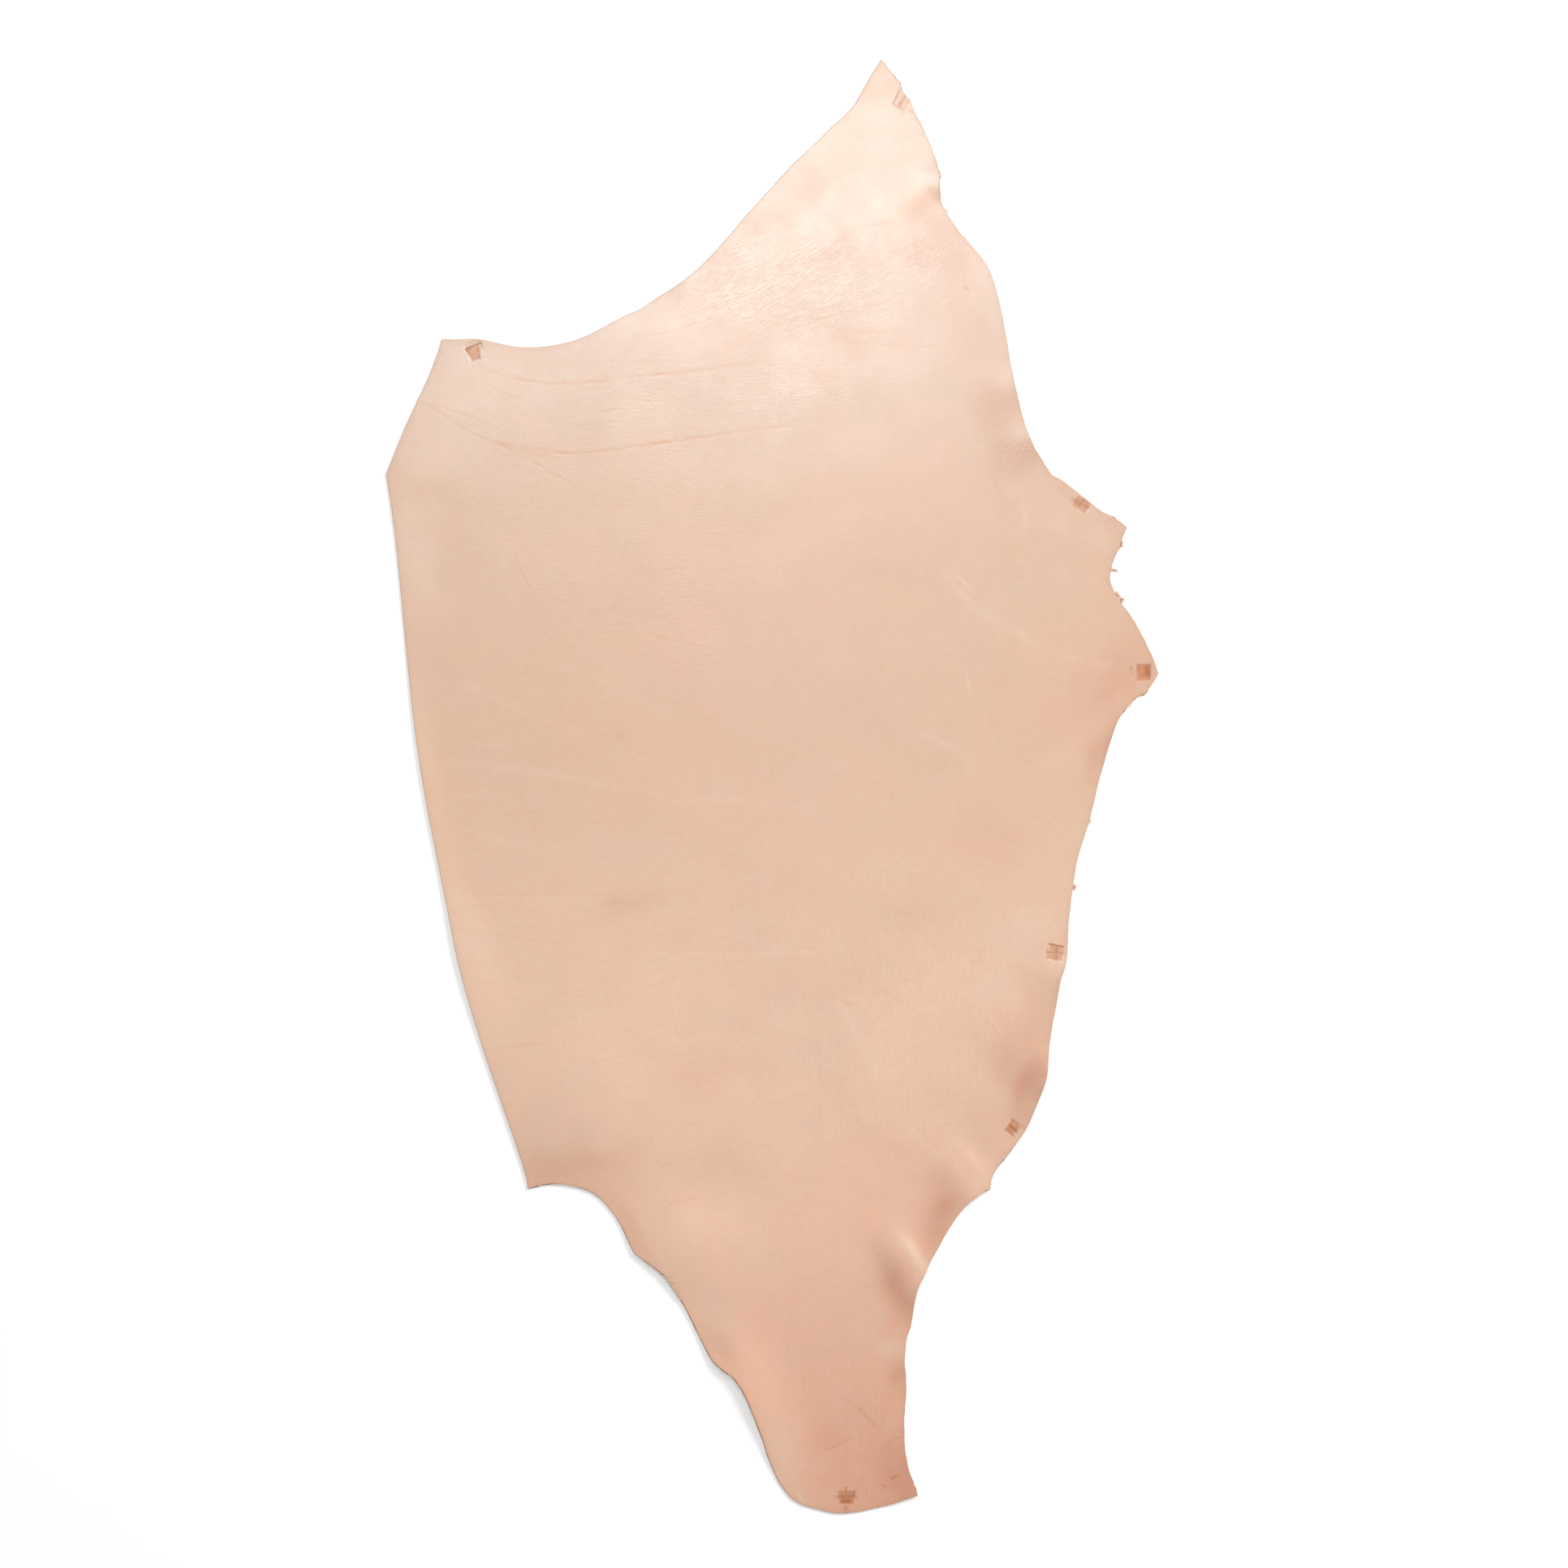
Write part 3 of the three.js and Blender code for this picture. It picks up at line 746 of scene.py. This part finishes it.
def feature_points():
    """Rows of points along each crease, streak and line, and a close lattice over each clip mark."""
    rows = []
    curves = [(crease, CREASE_ROWS, CREASE_WIDTH) for crease in CREASES]
    curves += [(streak, STREAK_ROWS, 1) for streak in STREAKS]
    for curve, gaps, unit in curves:
        course, along = curve_course(curve)
        across = np.column_stack([-along[:, 1], along[:, 0]])
        rows += [course + gap * curve["width"] / unit * across for gap in gaps]
    for mark in CLIP_MARKS:
        half = 0.62 * (mark["width"] + mark["length"]) / 2
        square = lattice((-half, -half), (half, half), MARK_STEP)
        turn = math.radians(mark["turn"])
        spin = np.array([[math.cos(turn), math.sin(turn)], [-math.sin(turn), math.cos(turn)]])
        rows.append(square @ spin + (mark["x"], mark["y"]))
    for line in [*SCRATCHES, *JAW_LINES]:
        start, end = np.array([line["x"], line["y"]]), np.array([line["x2"], line["y2"]])
        steps = np.linspace(0, 1, round(np.linalg.norm(end - start) / MARK_STEP) + 2)[:, None]
        across = np.array([start[1] - end[1], end[0] - start[0]])
        across = across / np.linalg.norm(across) * line["width"]
        rows += [start + (end - start) * steps + gap * across for gap in LINE_ROWS]
    return np.concatenate(rows)


def spaced(groups):
    """The groups' points in turn, each kept only if it is its group's clearance from all before."""
    cell = max(clearance for _, clearance in groups)
    kept, cells = [], {}
    for points, clearance in groups:
        for x, y in points:
            column, row = int(x // cell), int(y // cell)
            block = [(column + i, row + j) for i in (-1, 0, 1) for j in (-1, 0, 1)]
            close = [other for place in block for other in cells.get(place, ())]
            if all(math.hypot(x - u, y - v) >= clearance for u, v in close):
                cells.setdefault((column, row), []).append((x, y))
                kept.append((x, y))
    return np.array(kept)


def triangulate(rim, points):
    """Triangles over the rim's inside, through the points. The rim's points come first."""
    corners = [Vector(point) for point in points]
    found = geometry.delaunay_2d_cdt(corners, [], [range(len(rim))], INSIDE, SAME_POINT)
    faces, origins = found[2], found[3]
    return [[origins[corner][0] for corner in face] for face in faces]


def rim_distance(points, rim):
    """How far each point is from the nearest of the rim's."""
    tree = kdtree.KDTree(len(rim))
    for index, (x, y) in enumerate(rim):
        tree.insert((x, y, 0), index)
    tree.balance()
    return np.array([tree.find((x, y, 0))[2] for x, y in points])


def flesh_lip(outline):
    """How far the flesh side stands out past the grain at each point of the edge."""
    lip = WANDER * noise_at(outline, 9, 5.0) - UNDERCUT
    for row in LIPS:
        lip += row["out"] * near(outline, row) * (1 + 0.5 * noise_at(outline, 3, 6.0))
    return lip


def strips(starts, count):
    """The four-sided faces between rings of `count` points that start at these indices."""
    faces = []
    for upper, lower in zip(starts, starts[1:]):
        for i in range(count):
            j = (i + 1) % count
            faces.append((upper + j, upper + i, lower + i, lower + j))
    return faces


def leather_sheet(outline, outward, under_height, thickness):
    """The sheet as one closed mesh, with the fields that its material reads as attributes."""
    rim = outline - BEVEL * outward
    low, high = rim.min(axis=0), rim.max(axis=0)
    grain = spaced([
        (rim, 0.0),
        (rim - SHOULDER * outward, SHOULDER_GAP),
        (feature_points(), FEATURE_GAP),
        (lattice(low, high, LATTICE_STEP), LATTICE_GAP),
    ])
    grain_faces = triangulate(rim, grain)
    relief, fields = grain_relief(grain)
    grain_z = under_height(grain) + thickness + relief
    inward = rim_distance(grain, rim)
    fields["edge"] = np.exp(-inward / EDGE_WEAR)
    # A darker band along the cut: partly the edge's own colour, partly painted shade.
    fields["rim"] = RIM_SHARE * np.exp(-inward / RIM_DARK_REACH)

    lip = flesh_lip(outline)
    torn = smoothstep(TORN_FROM * TORN_LIP, TORN_TO * TORN_LIP, lip)
    edge_relief = relief[:len(rim)]
    rings = []
    for ring in RIM_RINGS:
        place = outline + (ring["out"] + ring["lip"] * lip)[:, None] * outward
        down = ring["down"] + (ring["torn"] - ring["down"]) * torn
        z = under_height(outline) + (thickness + edge_relief) * (1 - down)
        rings.append(np.column_stack([place, z]))
    bottom = rings[-1][:, :2]
    under = spaced([(bottom, 0.0), (lattice(low, high, UNDER_STEP), UNDER_GAP)])
    under_faces = triangulate(bottom, under)
    under_inner = under[len(bottom):]

    starts = [0, *(len(grain) + len(rim) * i for i in range(len(rings)))]
    sides = strips(starts, len(rim))
    underside = [tuple(starts[-1] + corner for corner in face[::-1]) for face in under_faces]
    faces = [*grain_faces, *sides, *underside]
    edge_slots = [FLESH if out > TORN_LIP else CUT for out in lip]
    slots = [GRAIN] * (len(grain_faces) + len(rim)) + edge_slots * (len(RIM_RINGS) - 1)
    slots += [FLESH] * len(underside)
    vertices = np.concatenate([
        np.column_stack([grain, grain_z]),
        *rings,
        np.column_stack([under_inner, under_height(under_inner)]),
    ])
    sheet = new_piece("leather_sheet", drawn_in(vertices), faces, slots)
    rounding = range(len(grain_faces), len(grain_faces) + len(rim))
    for index in rounding:
        sheet.data.polygons[index].use_smooth = False  # parts the shading of the grain from the cut's
    for name, values in fields.items():
        whole = np.concatenate([values, np.tile(values[:len(rim)], len(rings)), np.zeros(len(under_inner))])
        sheet.data.attributes.new(name, "FLOAT", "POINT").data.foreach_set("value", whole)
    tone = grain_tone(vertices[:, :2])
    sheet.data.attributes.new("tone", "FLOAT_COLOR", "POINT").data.foreach_set("color", tone.ravel())
    return sheet


def drawn_in(vertices):
    """Raised places moved toward the camera's axis, so that they are seen over their plan places."""
    vertices = np.array(vertices)
    axis = np.array(CAMERA_AT[:2]) / MM
    lifted = vertices[:, 2:] * MM / CAMERA_AT[2]
    vertices[:, :2] += lifted * (axis - vertices[:, :2])
    return vertices


def new_piece(name, vertices, faces, slots, smooth=True):
    """A mesh object, from corners in millimetres and each face's material slot."""
    mesh = bpy.data.meshes.new(name)
    mesh.from_pydata((np.asarray(vertices) * MM).tolist(), [], faces)
    mesh.polygons.foreach_set("material_index", slots)
    mesh.polygons.foreach_set("use_smooth", [smooth] * len(faces))
    mesh.update()
    return new_object(name, mesh)


def new_object(name, data):
    made = bpy.data.objects.new(name, data)
    bpy.context.scene.collection.objects.link(made)
    return made


# ------------ loose fibres on the cut edge

def fibre_path(chooser, root, direction, height, length, fan):
    """Points along one fibre that droops as it leaves the edge. It curls as widely as it may fan."""
    points = [(*root, height)]
    step = length / FIBRE_STEPS
    curl = fan * chooser.uniform(-0.3, 0.3)
    for _ in range(FIBRE_STEPS):
        direction += curl + fan * chooser.uniform(-0.25, 0.25)
        height = max(FIBRE_REST, height + chooser.uniform(-0.5, 0.25) * step)
        x, y, _ = points[-1]
        points.append((x + step * math.cos(direction), y + step * math.sin(direction), height))
    return np.array(points)


def add_fibre(path, radius, vertices, faces):
    """Adds a tapering three-sided tube along the path, closed at both ends."""
    along = np.gradient(path, axis=0)
    along /= np.linalg.norm(along, axis=1)[:, None]
    side = np.cross(along, (0, 0, 1))
    side /= np.linalg.norm(side, axis=1)[:, None]
    up = np.cross(side, along)
    first = len(vertices)
    for i, place in enumerate(path):
        reach = radius * (1 - FIBRE_TIP * i / (len(path) - 1))
        for turn in FIBRE_TURNS:
            rise = FIBRE_FLATNESS * math.sin(turn)
            vertices.append(place + reach * (math.cos(turn) * side[i] + rise * up[i]))
    for i in range(len(path) - 1):
        for j in range(3):
            a, b = first + 3 * i + j, first + 3 * i + (j + 1) % 3
            faces.append((a, b, b + 3, a + 3))
    faces.append((first + 2, first + 1, first))
    last = len(vertices) - 3
    faces.append((last, last + 1, last + 2))


def edge_fibres(outline, outward, under_height, thickness):
    """All the tufts of loose fibre as one piece."""
    chooser = random.Random(SEED)
    vertices, faces, slots = [], [], []
    for tuft in FIBRES:
        gap = np.hypot(outline[:, 0] - tuft["x"], outline[:, 1] - tuft["y"])
        nearest = int(gap.argmin())
        base = under_height(outline[nearest:nearest + 1])[0]
        facing = math.radians(tuft["turn"])
        fan = math.radians(tuft["fan"])
        for _ in range(tuft["count"]):
            aside = RIM_STEP * min(fan, 1.0) * chooser.uniform(-1, 1)
            right, up = outward[nearest]
            root = outline[nearest] + aside * np.array([-up, right])
            root = root + outward[nearest] * chooser.uniform(-1.2, 0.0)
            height = base + thickness * (tuft["high"] + chooser.uniform(-0.3, 0.15))
            length = tuft["length"] * chooser.uniform(0.45, 1.0)
            direction = facing + fan * chooser.uniform(-1, 1)
            path = fibre_path(chooser, root, direction, height, length, fan)
            add_fibre(path, tuft["thick"] / 2 * chooser.uniform(0.7, 1.3), vertices, faces)
        slots += [tuft["pale"]] * (len(faces) - len(slots))
    return new_piece("edge_fibres", drawn_in(vertices), faces, slots, smooth=False)


# ------------ materials

def node(tree, kind, inputs=None, **settings):
    """A new node. Each input is a value, or the socket of another node to link."""
    made = tree.nodes.new("ShaderNode" + kind)
    for name, value in settings.items():
        setattr(made, name, value)
    for key, value in (inputs or {}).items():
        if isinstance(value, bpy.types.NodeSocket):
            tree.links.new(value, made.inputs[key])
        else:
            made.inputs[key].default_value = value
    return made


def mixed(tree, share, tone, colour):
    """The tone with a share of a displayed colour in it."""
    inputs = {0: share, 6: tone, 7: linear(*colour)}
    return node(tree, "Mix", inputs, data_type="RGBA").outputs[2]


def maths(tree, operation, *values):
    return node(tree, "Math", dict(enumerate(values)), operation=operation).outputs[0]


def spread_to(tree, value, low, high, to_low=0.0, to_high=1.0):
    """The value's range from low to high, taken to another range and held there."""
    inputs = {"Value": value, "From Min": low, "From Max": high, "To Min": to_low, "To Max": to_high}
    return node(tree, "MapRange", inputs).outputs[0]


def stretched(tree, place, turn, along, across):
    """Coordinates turned by degrees, in units of `along` and `across` millimetres."""
    spun = node(tree, "VectorRotate", {"Vector": place, "Angle": -math.radians(turn)}, rotation_type="Z_AXIS")
    scale = (1 / (along * MM), 1 / (across * MM), 1 / (across * MM))
    inputs = {0: spun.outputs[0], 1: scale}
    return node(tree, "VectorMath", inputs, operation="MULTIPLY").outputs[0]


def cloudy(tree, place, detail=2.0, rough=0.5):
    inputs = {"Vector": place, "Scale": 1.0, "Detail": detail, "Roughness": rough}
    return node(tree, "TexNoise", inputs).outputs["Fac"]


def field(tree, name):
    return node(tree, "Attribute", attribute_name=name).outputs["Fac"]


def new_material(name, finish):
    """A material with one Principled shader, whose constant sockets come from `finish`."""
    material = bpy.data.materials.new(name)
    material.use_nodes = True
    tree = material.node_tree
    shader = tree.nodes["Principled BSDF"]
    for key, value in finish.items():
        shader.inputs[key].default_value = value
    place = node(tree, "TexCoord").outputs["Object"]
    return material, tree, shader, place


def surface(tree, shader, tone, height, depth):
    """Links the tone, and the height as bump that is `depth` millimetres where the height is 1."""
    tree.links.new(tone, shader.inputs["Base Color"])
    bump = node(tree, "Bump", {"Height": height, "Distance": depth * MM, "Strength": 1.0})
    tree.links.new(bump.outputs[0], shader.inputs["Normal"])


def mottled(tree, place, tone):
    """The tone with cloudy patches of other tones over it, from broad ones to flecks."""
    for cloud in CLOUDS:
        apart = node(tree, "VectorMath", {0: place, 1: (cloud["seed"], 0, 0)}, operation="ADD").outputs[0]
        spun = stretched(tree, apart, cloud["turn"], 1.4 * cloud["size"], cloud["size"])
        shape = cloudy(tree, spun, 3.0, 0.5)
        share = spread_to(tree, shape, 0.46, 0.72, 0, cloud["share"])
        tone = mixed(tree, share, tone, cloud["colour"])
    return tone


def grain_material():
    """Smooth, lightly glazed, undyed leather: pores, fine wrinkles, creases and handling marks."""
    material, tree, shader, place = new_material("leather_grain", {"IOR": 1.5, "Specular IOR Level": 0.6})
    # The patterns are read in plan, so that the waves don't change them.
    place = node(tree, "VectorMath", {0: place, 1: (1, 1, 0)}, operation="MULTIPLY").outputs[0]
    tone = node(tree, "Attribute", attribute_name="tone").outputs["Color"]
    tone = mottled(tree, place, tone)
    fine = cloudy(tree, stretched(tree, place, 0, 2.6, 2.2), 3.0, 0.6)
    tone = mixed(tree, spread_to(tree, fine, 0.4, 0.7, 0.0, FINE_SHARE), tone, FINE_COLOUR)
    pores = node(tree, "TexVoronoi", {"Vector": stretched(tree, place, 0, 0.9, 0.9), "Scale": 1.0})
    pored = spread_to(tree, pores.outputs["Distance"], 0.1, 0.4)
    pored = maths(tree, "MULTIPLY", pored, PORE_DEPTH)
    height = maths(tree, "ADD", maths(tree, "MULTIPLY", fine, FINE_DEPTH), pored)

    for row in WRINKLES:
        lines = wrinkle_lines(tree, place, row)
        height = maths(tree, "SUBTRACT", height, maths(tree, "MULTIPLY", lines, row["depth"]))
        tone = mixed(tree, maths(tree, "MULTIPLY", lines, row["shade"]), tone, WRINKLE_COLOUR)
    for mark in MARK_TONES:
        tone = mixed(tree, field(tree, mark["field"]), tone, mark["colour"])
    worn = maths(tree, "MULTIPLY", field(tree, "edge"), cloudy(tree, stretched(tree, place, 0, 14, 14)))
    tone = mixed(tree, maths(tree, "MULTIPLY", worn, WORN_SHARE), tone, WORN_COLOUR)

    glazed = cloudy(tree, stretched(tree, place, 30, 60, 60), 3.0)
    rough = spread_to(tree, glazed, 0.3, 0.7, GLAZE[0], GLAZE[1])
    rough = maths(tree, "ADD", rough, maths(tree, "MULTIPLY", field(tree, "stain"), DULLED))
    tree.links.new(rough, shader.inputs["Roughness"])
    surface(tree, shader, tone, height, 1)
    return material


def wrinkle_lines(tree, place, row):
    """1 along the wrinkles of one patch, which follow the middle level of stretched noise."""
    shape = cloudy(tree, stretched(tree, place, row["turn"], row["along"], row["across"]), 3.0, 0.6)
    gap = maths(tree, "ABSOLUTE", maths(tree, "SUBTRACT", shape, 0.5))
    lines = spread_to(tree, gap, 0.0, 0.07, 1.0, 0.0)
    return maths(tree, "MULTIPLY", lines, field(tree, row["name"]))


def napped_material(name, light, dark, nap):
    """Napped fibre, as on the flesh side and along the cut: two tones, soft and rough."""
    material, tree, shader, place = new_material(name, {"Roughness": 0.95, "Specular IOR Level": 0.2})
    clumps = cloudy(tree, stretched(tree, place, 20, 9, 4), 4.0, 0.7)
    fibre = cloudy(tree, stretched(tree, place, -15, 1.6, 0.45), 4.0, 0.7)
    share = maths(tree, "ADD", maths(tree, "MULTIPLY", clumps, 0.5), maths(tree, "MULTIPLY", fibre, 0.5))
    tone = mixed(tree, spread_to(tree, share, 0.38, 0.62), linear(*light), dark)
    surface(tree, shader, tone, share, nap)
    return material


def seen_share(tree):
    """1 for what the camera and reflections see, 0 for light that falls on the leather."""
    path = node(tree, "LightPath")
    seen = maths(tree, "MAXIMUM", path.outputs["Is Camera Ray"], path.outputs["Is Glossy Ray"])
    return maths(tree, "MAXIMUM", seen, path.outputs["Is Transmission Ray"])


def floor_material():
    """A matt white surface that looks white where it is lit and still takes shadows."""
    material = bpy.data.materials.new("white_floor")
    material.use_nodes = True
    tree = material.node_tree
    tree.nodes.clear()
    matt = node(tree, "BsdfDiffuse", {"Color": (FLOOR_WHITE, FLOOR_WHITE, FLOOR_WHITE, 1)})
    glow = node(tree, "Emission", {"Strength": maths(tree, "MULTIPLY", seen_share(tree), FLOOR_GLOW)})
    both = node(tree, "AddShader", {0: matt.outputs[0], 1: glow.outputs[0]})
    node(tree, "OutputMaterial", {"Surface": both.outputs[0]})
    return material


# ------------ floor, light and camera

def add_floor():
    around = ((-1, -1), (1, -1), (1, 1), (-1, 1))
    corners = [(x * FLOOR_HALF, y * FLOOR_HALF, FLOOR_LEVEL) for x, y in around]
    floor = new_piece("floor", corners, [(0, 1, 2, 3)], [0])
    floor.data.materials.append(floor_material())


def add_lamp(lamp):
    light = bpy.data.lights.new(lamp["name"], "AREA")
    light.shape = "ELLIPSE"
    light.size, light.size_y = lamp["size"]
    light.energy = lamp["power"]
    light.color = lamp["colour"]
    body = new_object(lamp["name"], light)
    body.location = lamp["at"]
    aim = Vector(lamp["aim"]) - Vector(lamp["at"])
    body.rotation_euler = aim.to_track_quat("-Z", "Y").to_euler()
    body.visible_camera = False


def add_world():
    """Even light from all round, with a white background where it is seen."""
    world = bpy.data.worlds.new("studio")
    world.use_nodes = True
    tree = world.node_tree
    tree.nodes.clear()
    strength = spread_to(tree, seen_share(tree), 0, 1, WORLD_LEVEL, 1.0)
    light = node(tree, "Background", {"Color": (1, 1, 1, 1), "Strength": strength})
    node(tree, "OutputWorld", {"Surface": light.outputs[0]})
    bpy.context.scene.world = world


def add_camera():
    camera = bpy.data.cameras.new("camera")
    camera.sensor_width = SENSOR
    camera.lens = SENSOR * CAMERA_AT[2] / VIEW_WIDTH
    camera.clip_start, camera.clip_end = 0.1, 50
    body = new_object("camera", camera)
    body.location = CAMERA_AT
    bpy.context.scene.camera = body


def main():
    places, edge, thickness = read_solid()
    rest_height = thin_plate(places[:, :2], places[:, 2] - thickness)

    def under_height(points):
        uneven = LOOSE + 0.35 * noise_at(points, 90, 1.0) + 0.1 * noise_at(points, 35, 2.0)
        lift = rest_height(points) + fold_height(points)
        return (lift + np.hypot(lift, SETTLED)) / 2 + uneven

    outline = ragged(smooth_outline(edge))
    outward = outward_normals(outline)
    sheet = leather_sheet(outline, outward, under_height, thickness)
    fibres = edge_fibres(outline, outward, under_height, thickness)
    cut, flesh, loose, pale = (napped_material(**row) for row in NAPPED)
    for piece, materials in ((sheet, (grain_material(), cut, flesh)), (fibres, (loose, pale))):
        for material in materials:
            piece.data.materials.append(material)
        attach(piece, "root")
        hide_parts(SHEET_NODE)

    add_floor()
    for lamp in LAMPS:
        add_lamp(lamp)
    add_world()
    add_camera()
    bpy.context.scene.view_settings.view_transform = "Standard"


main()
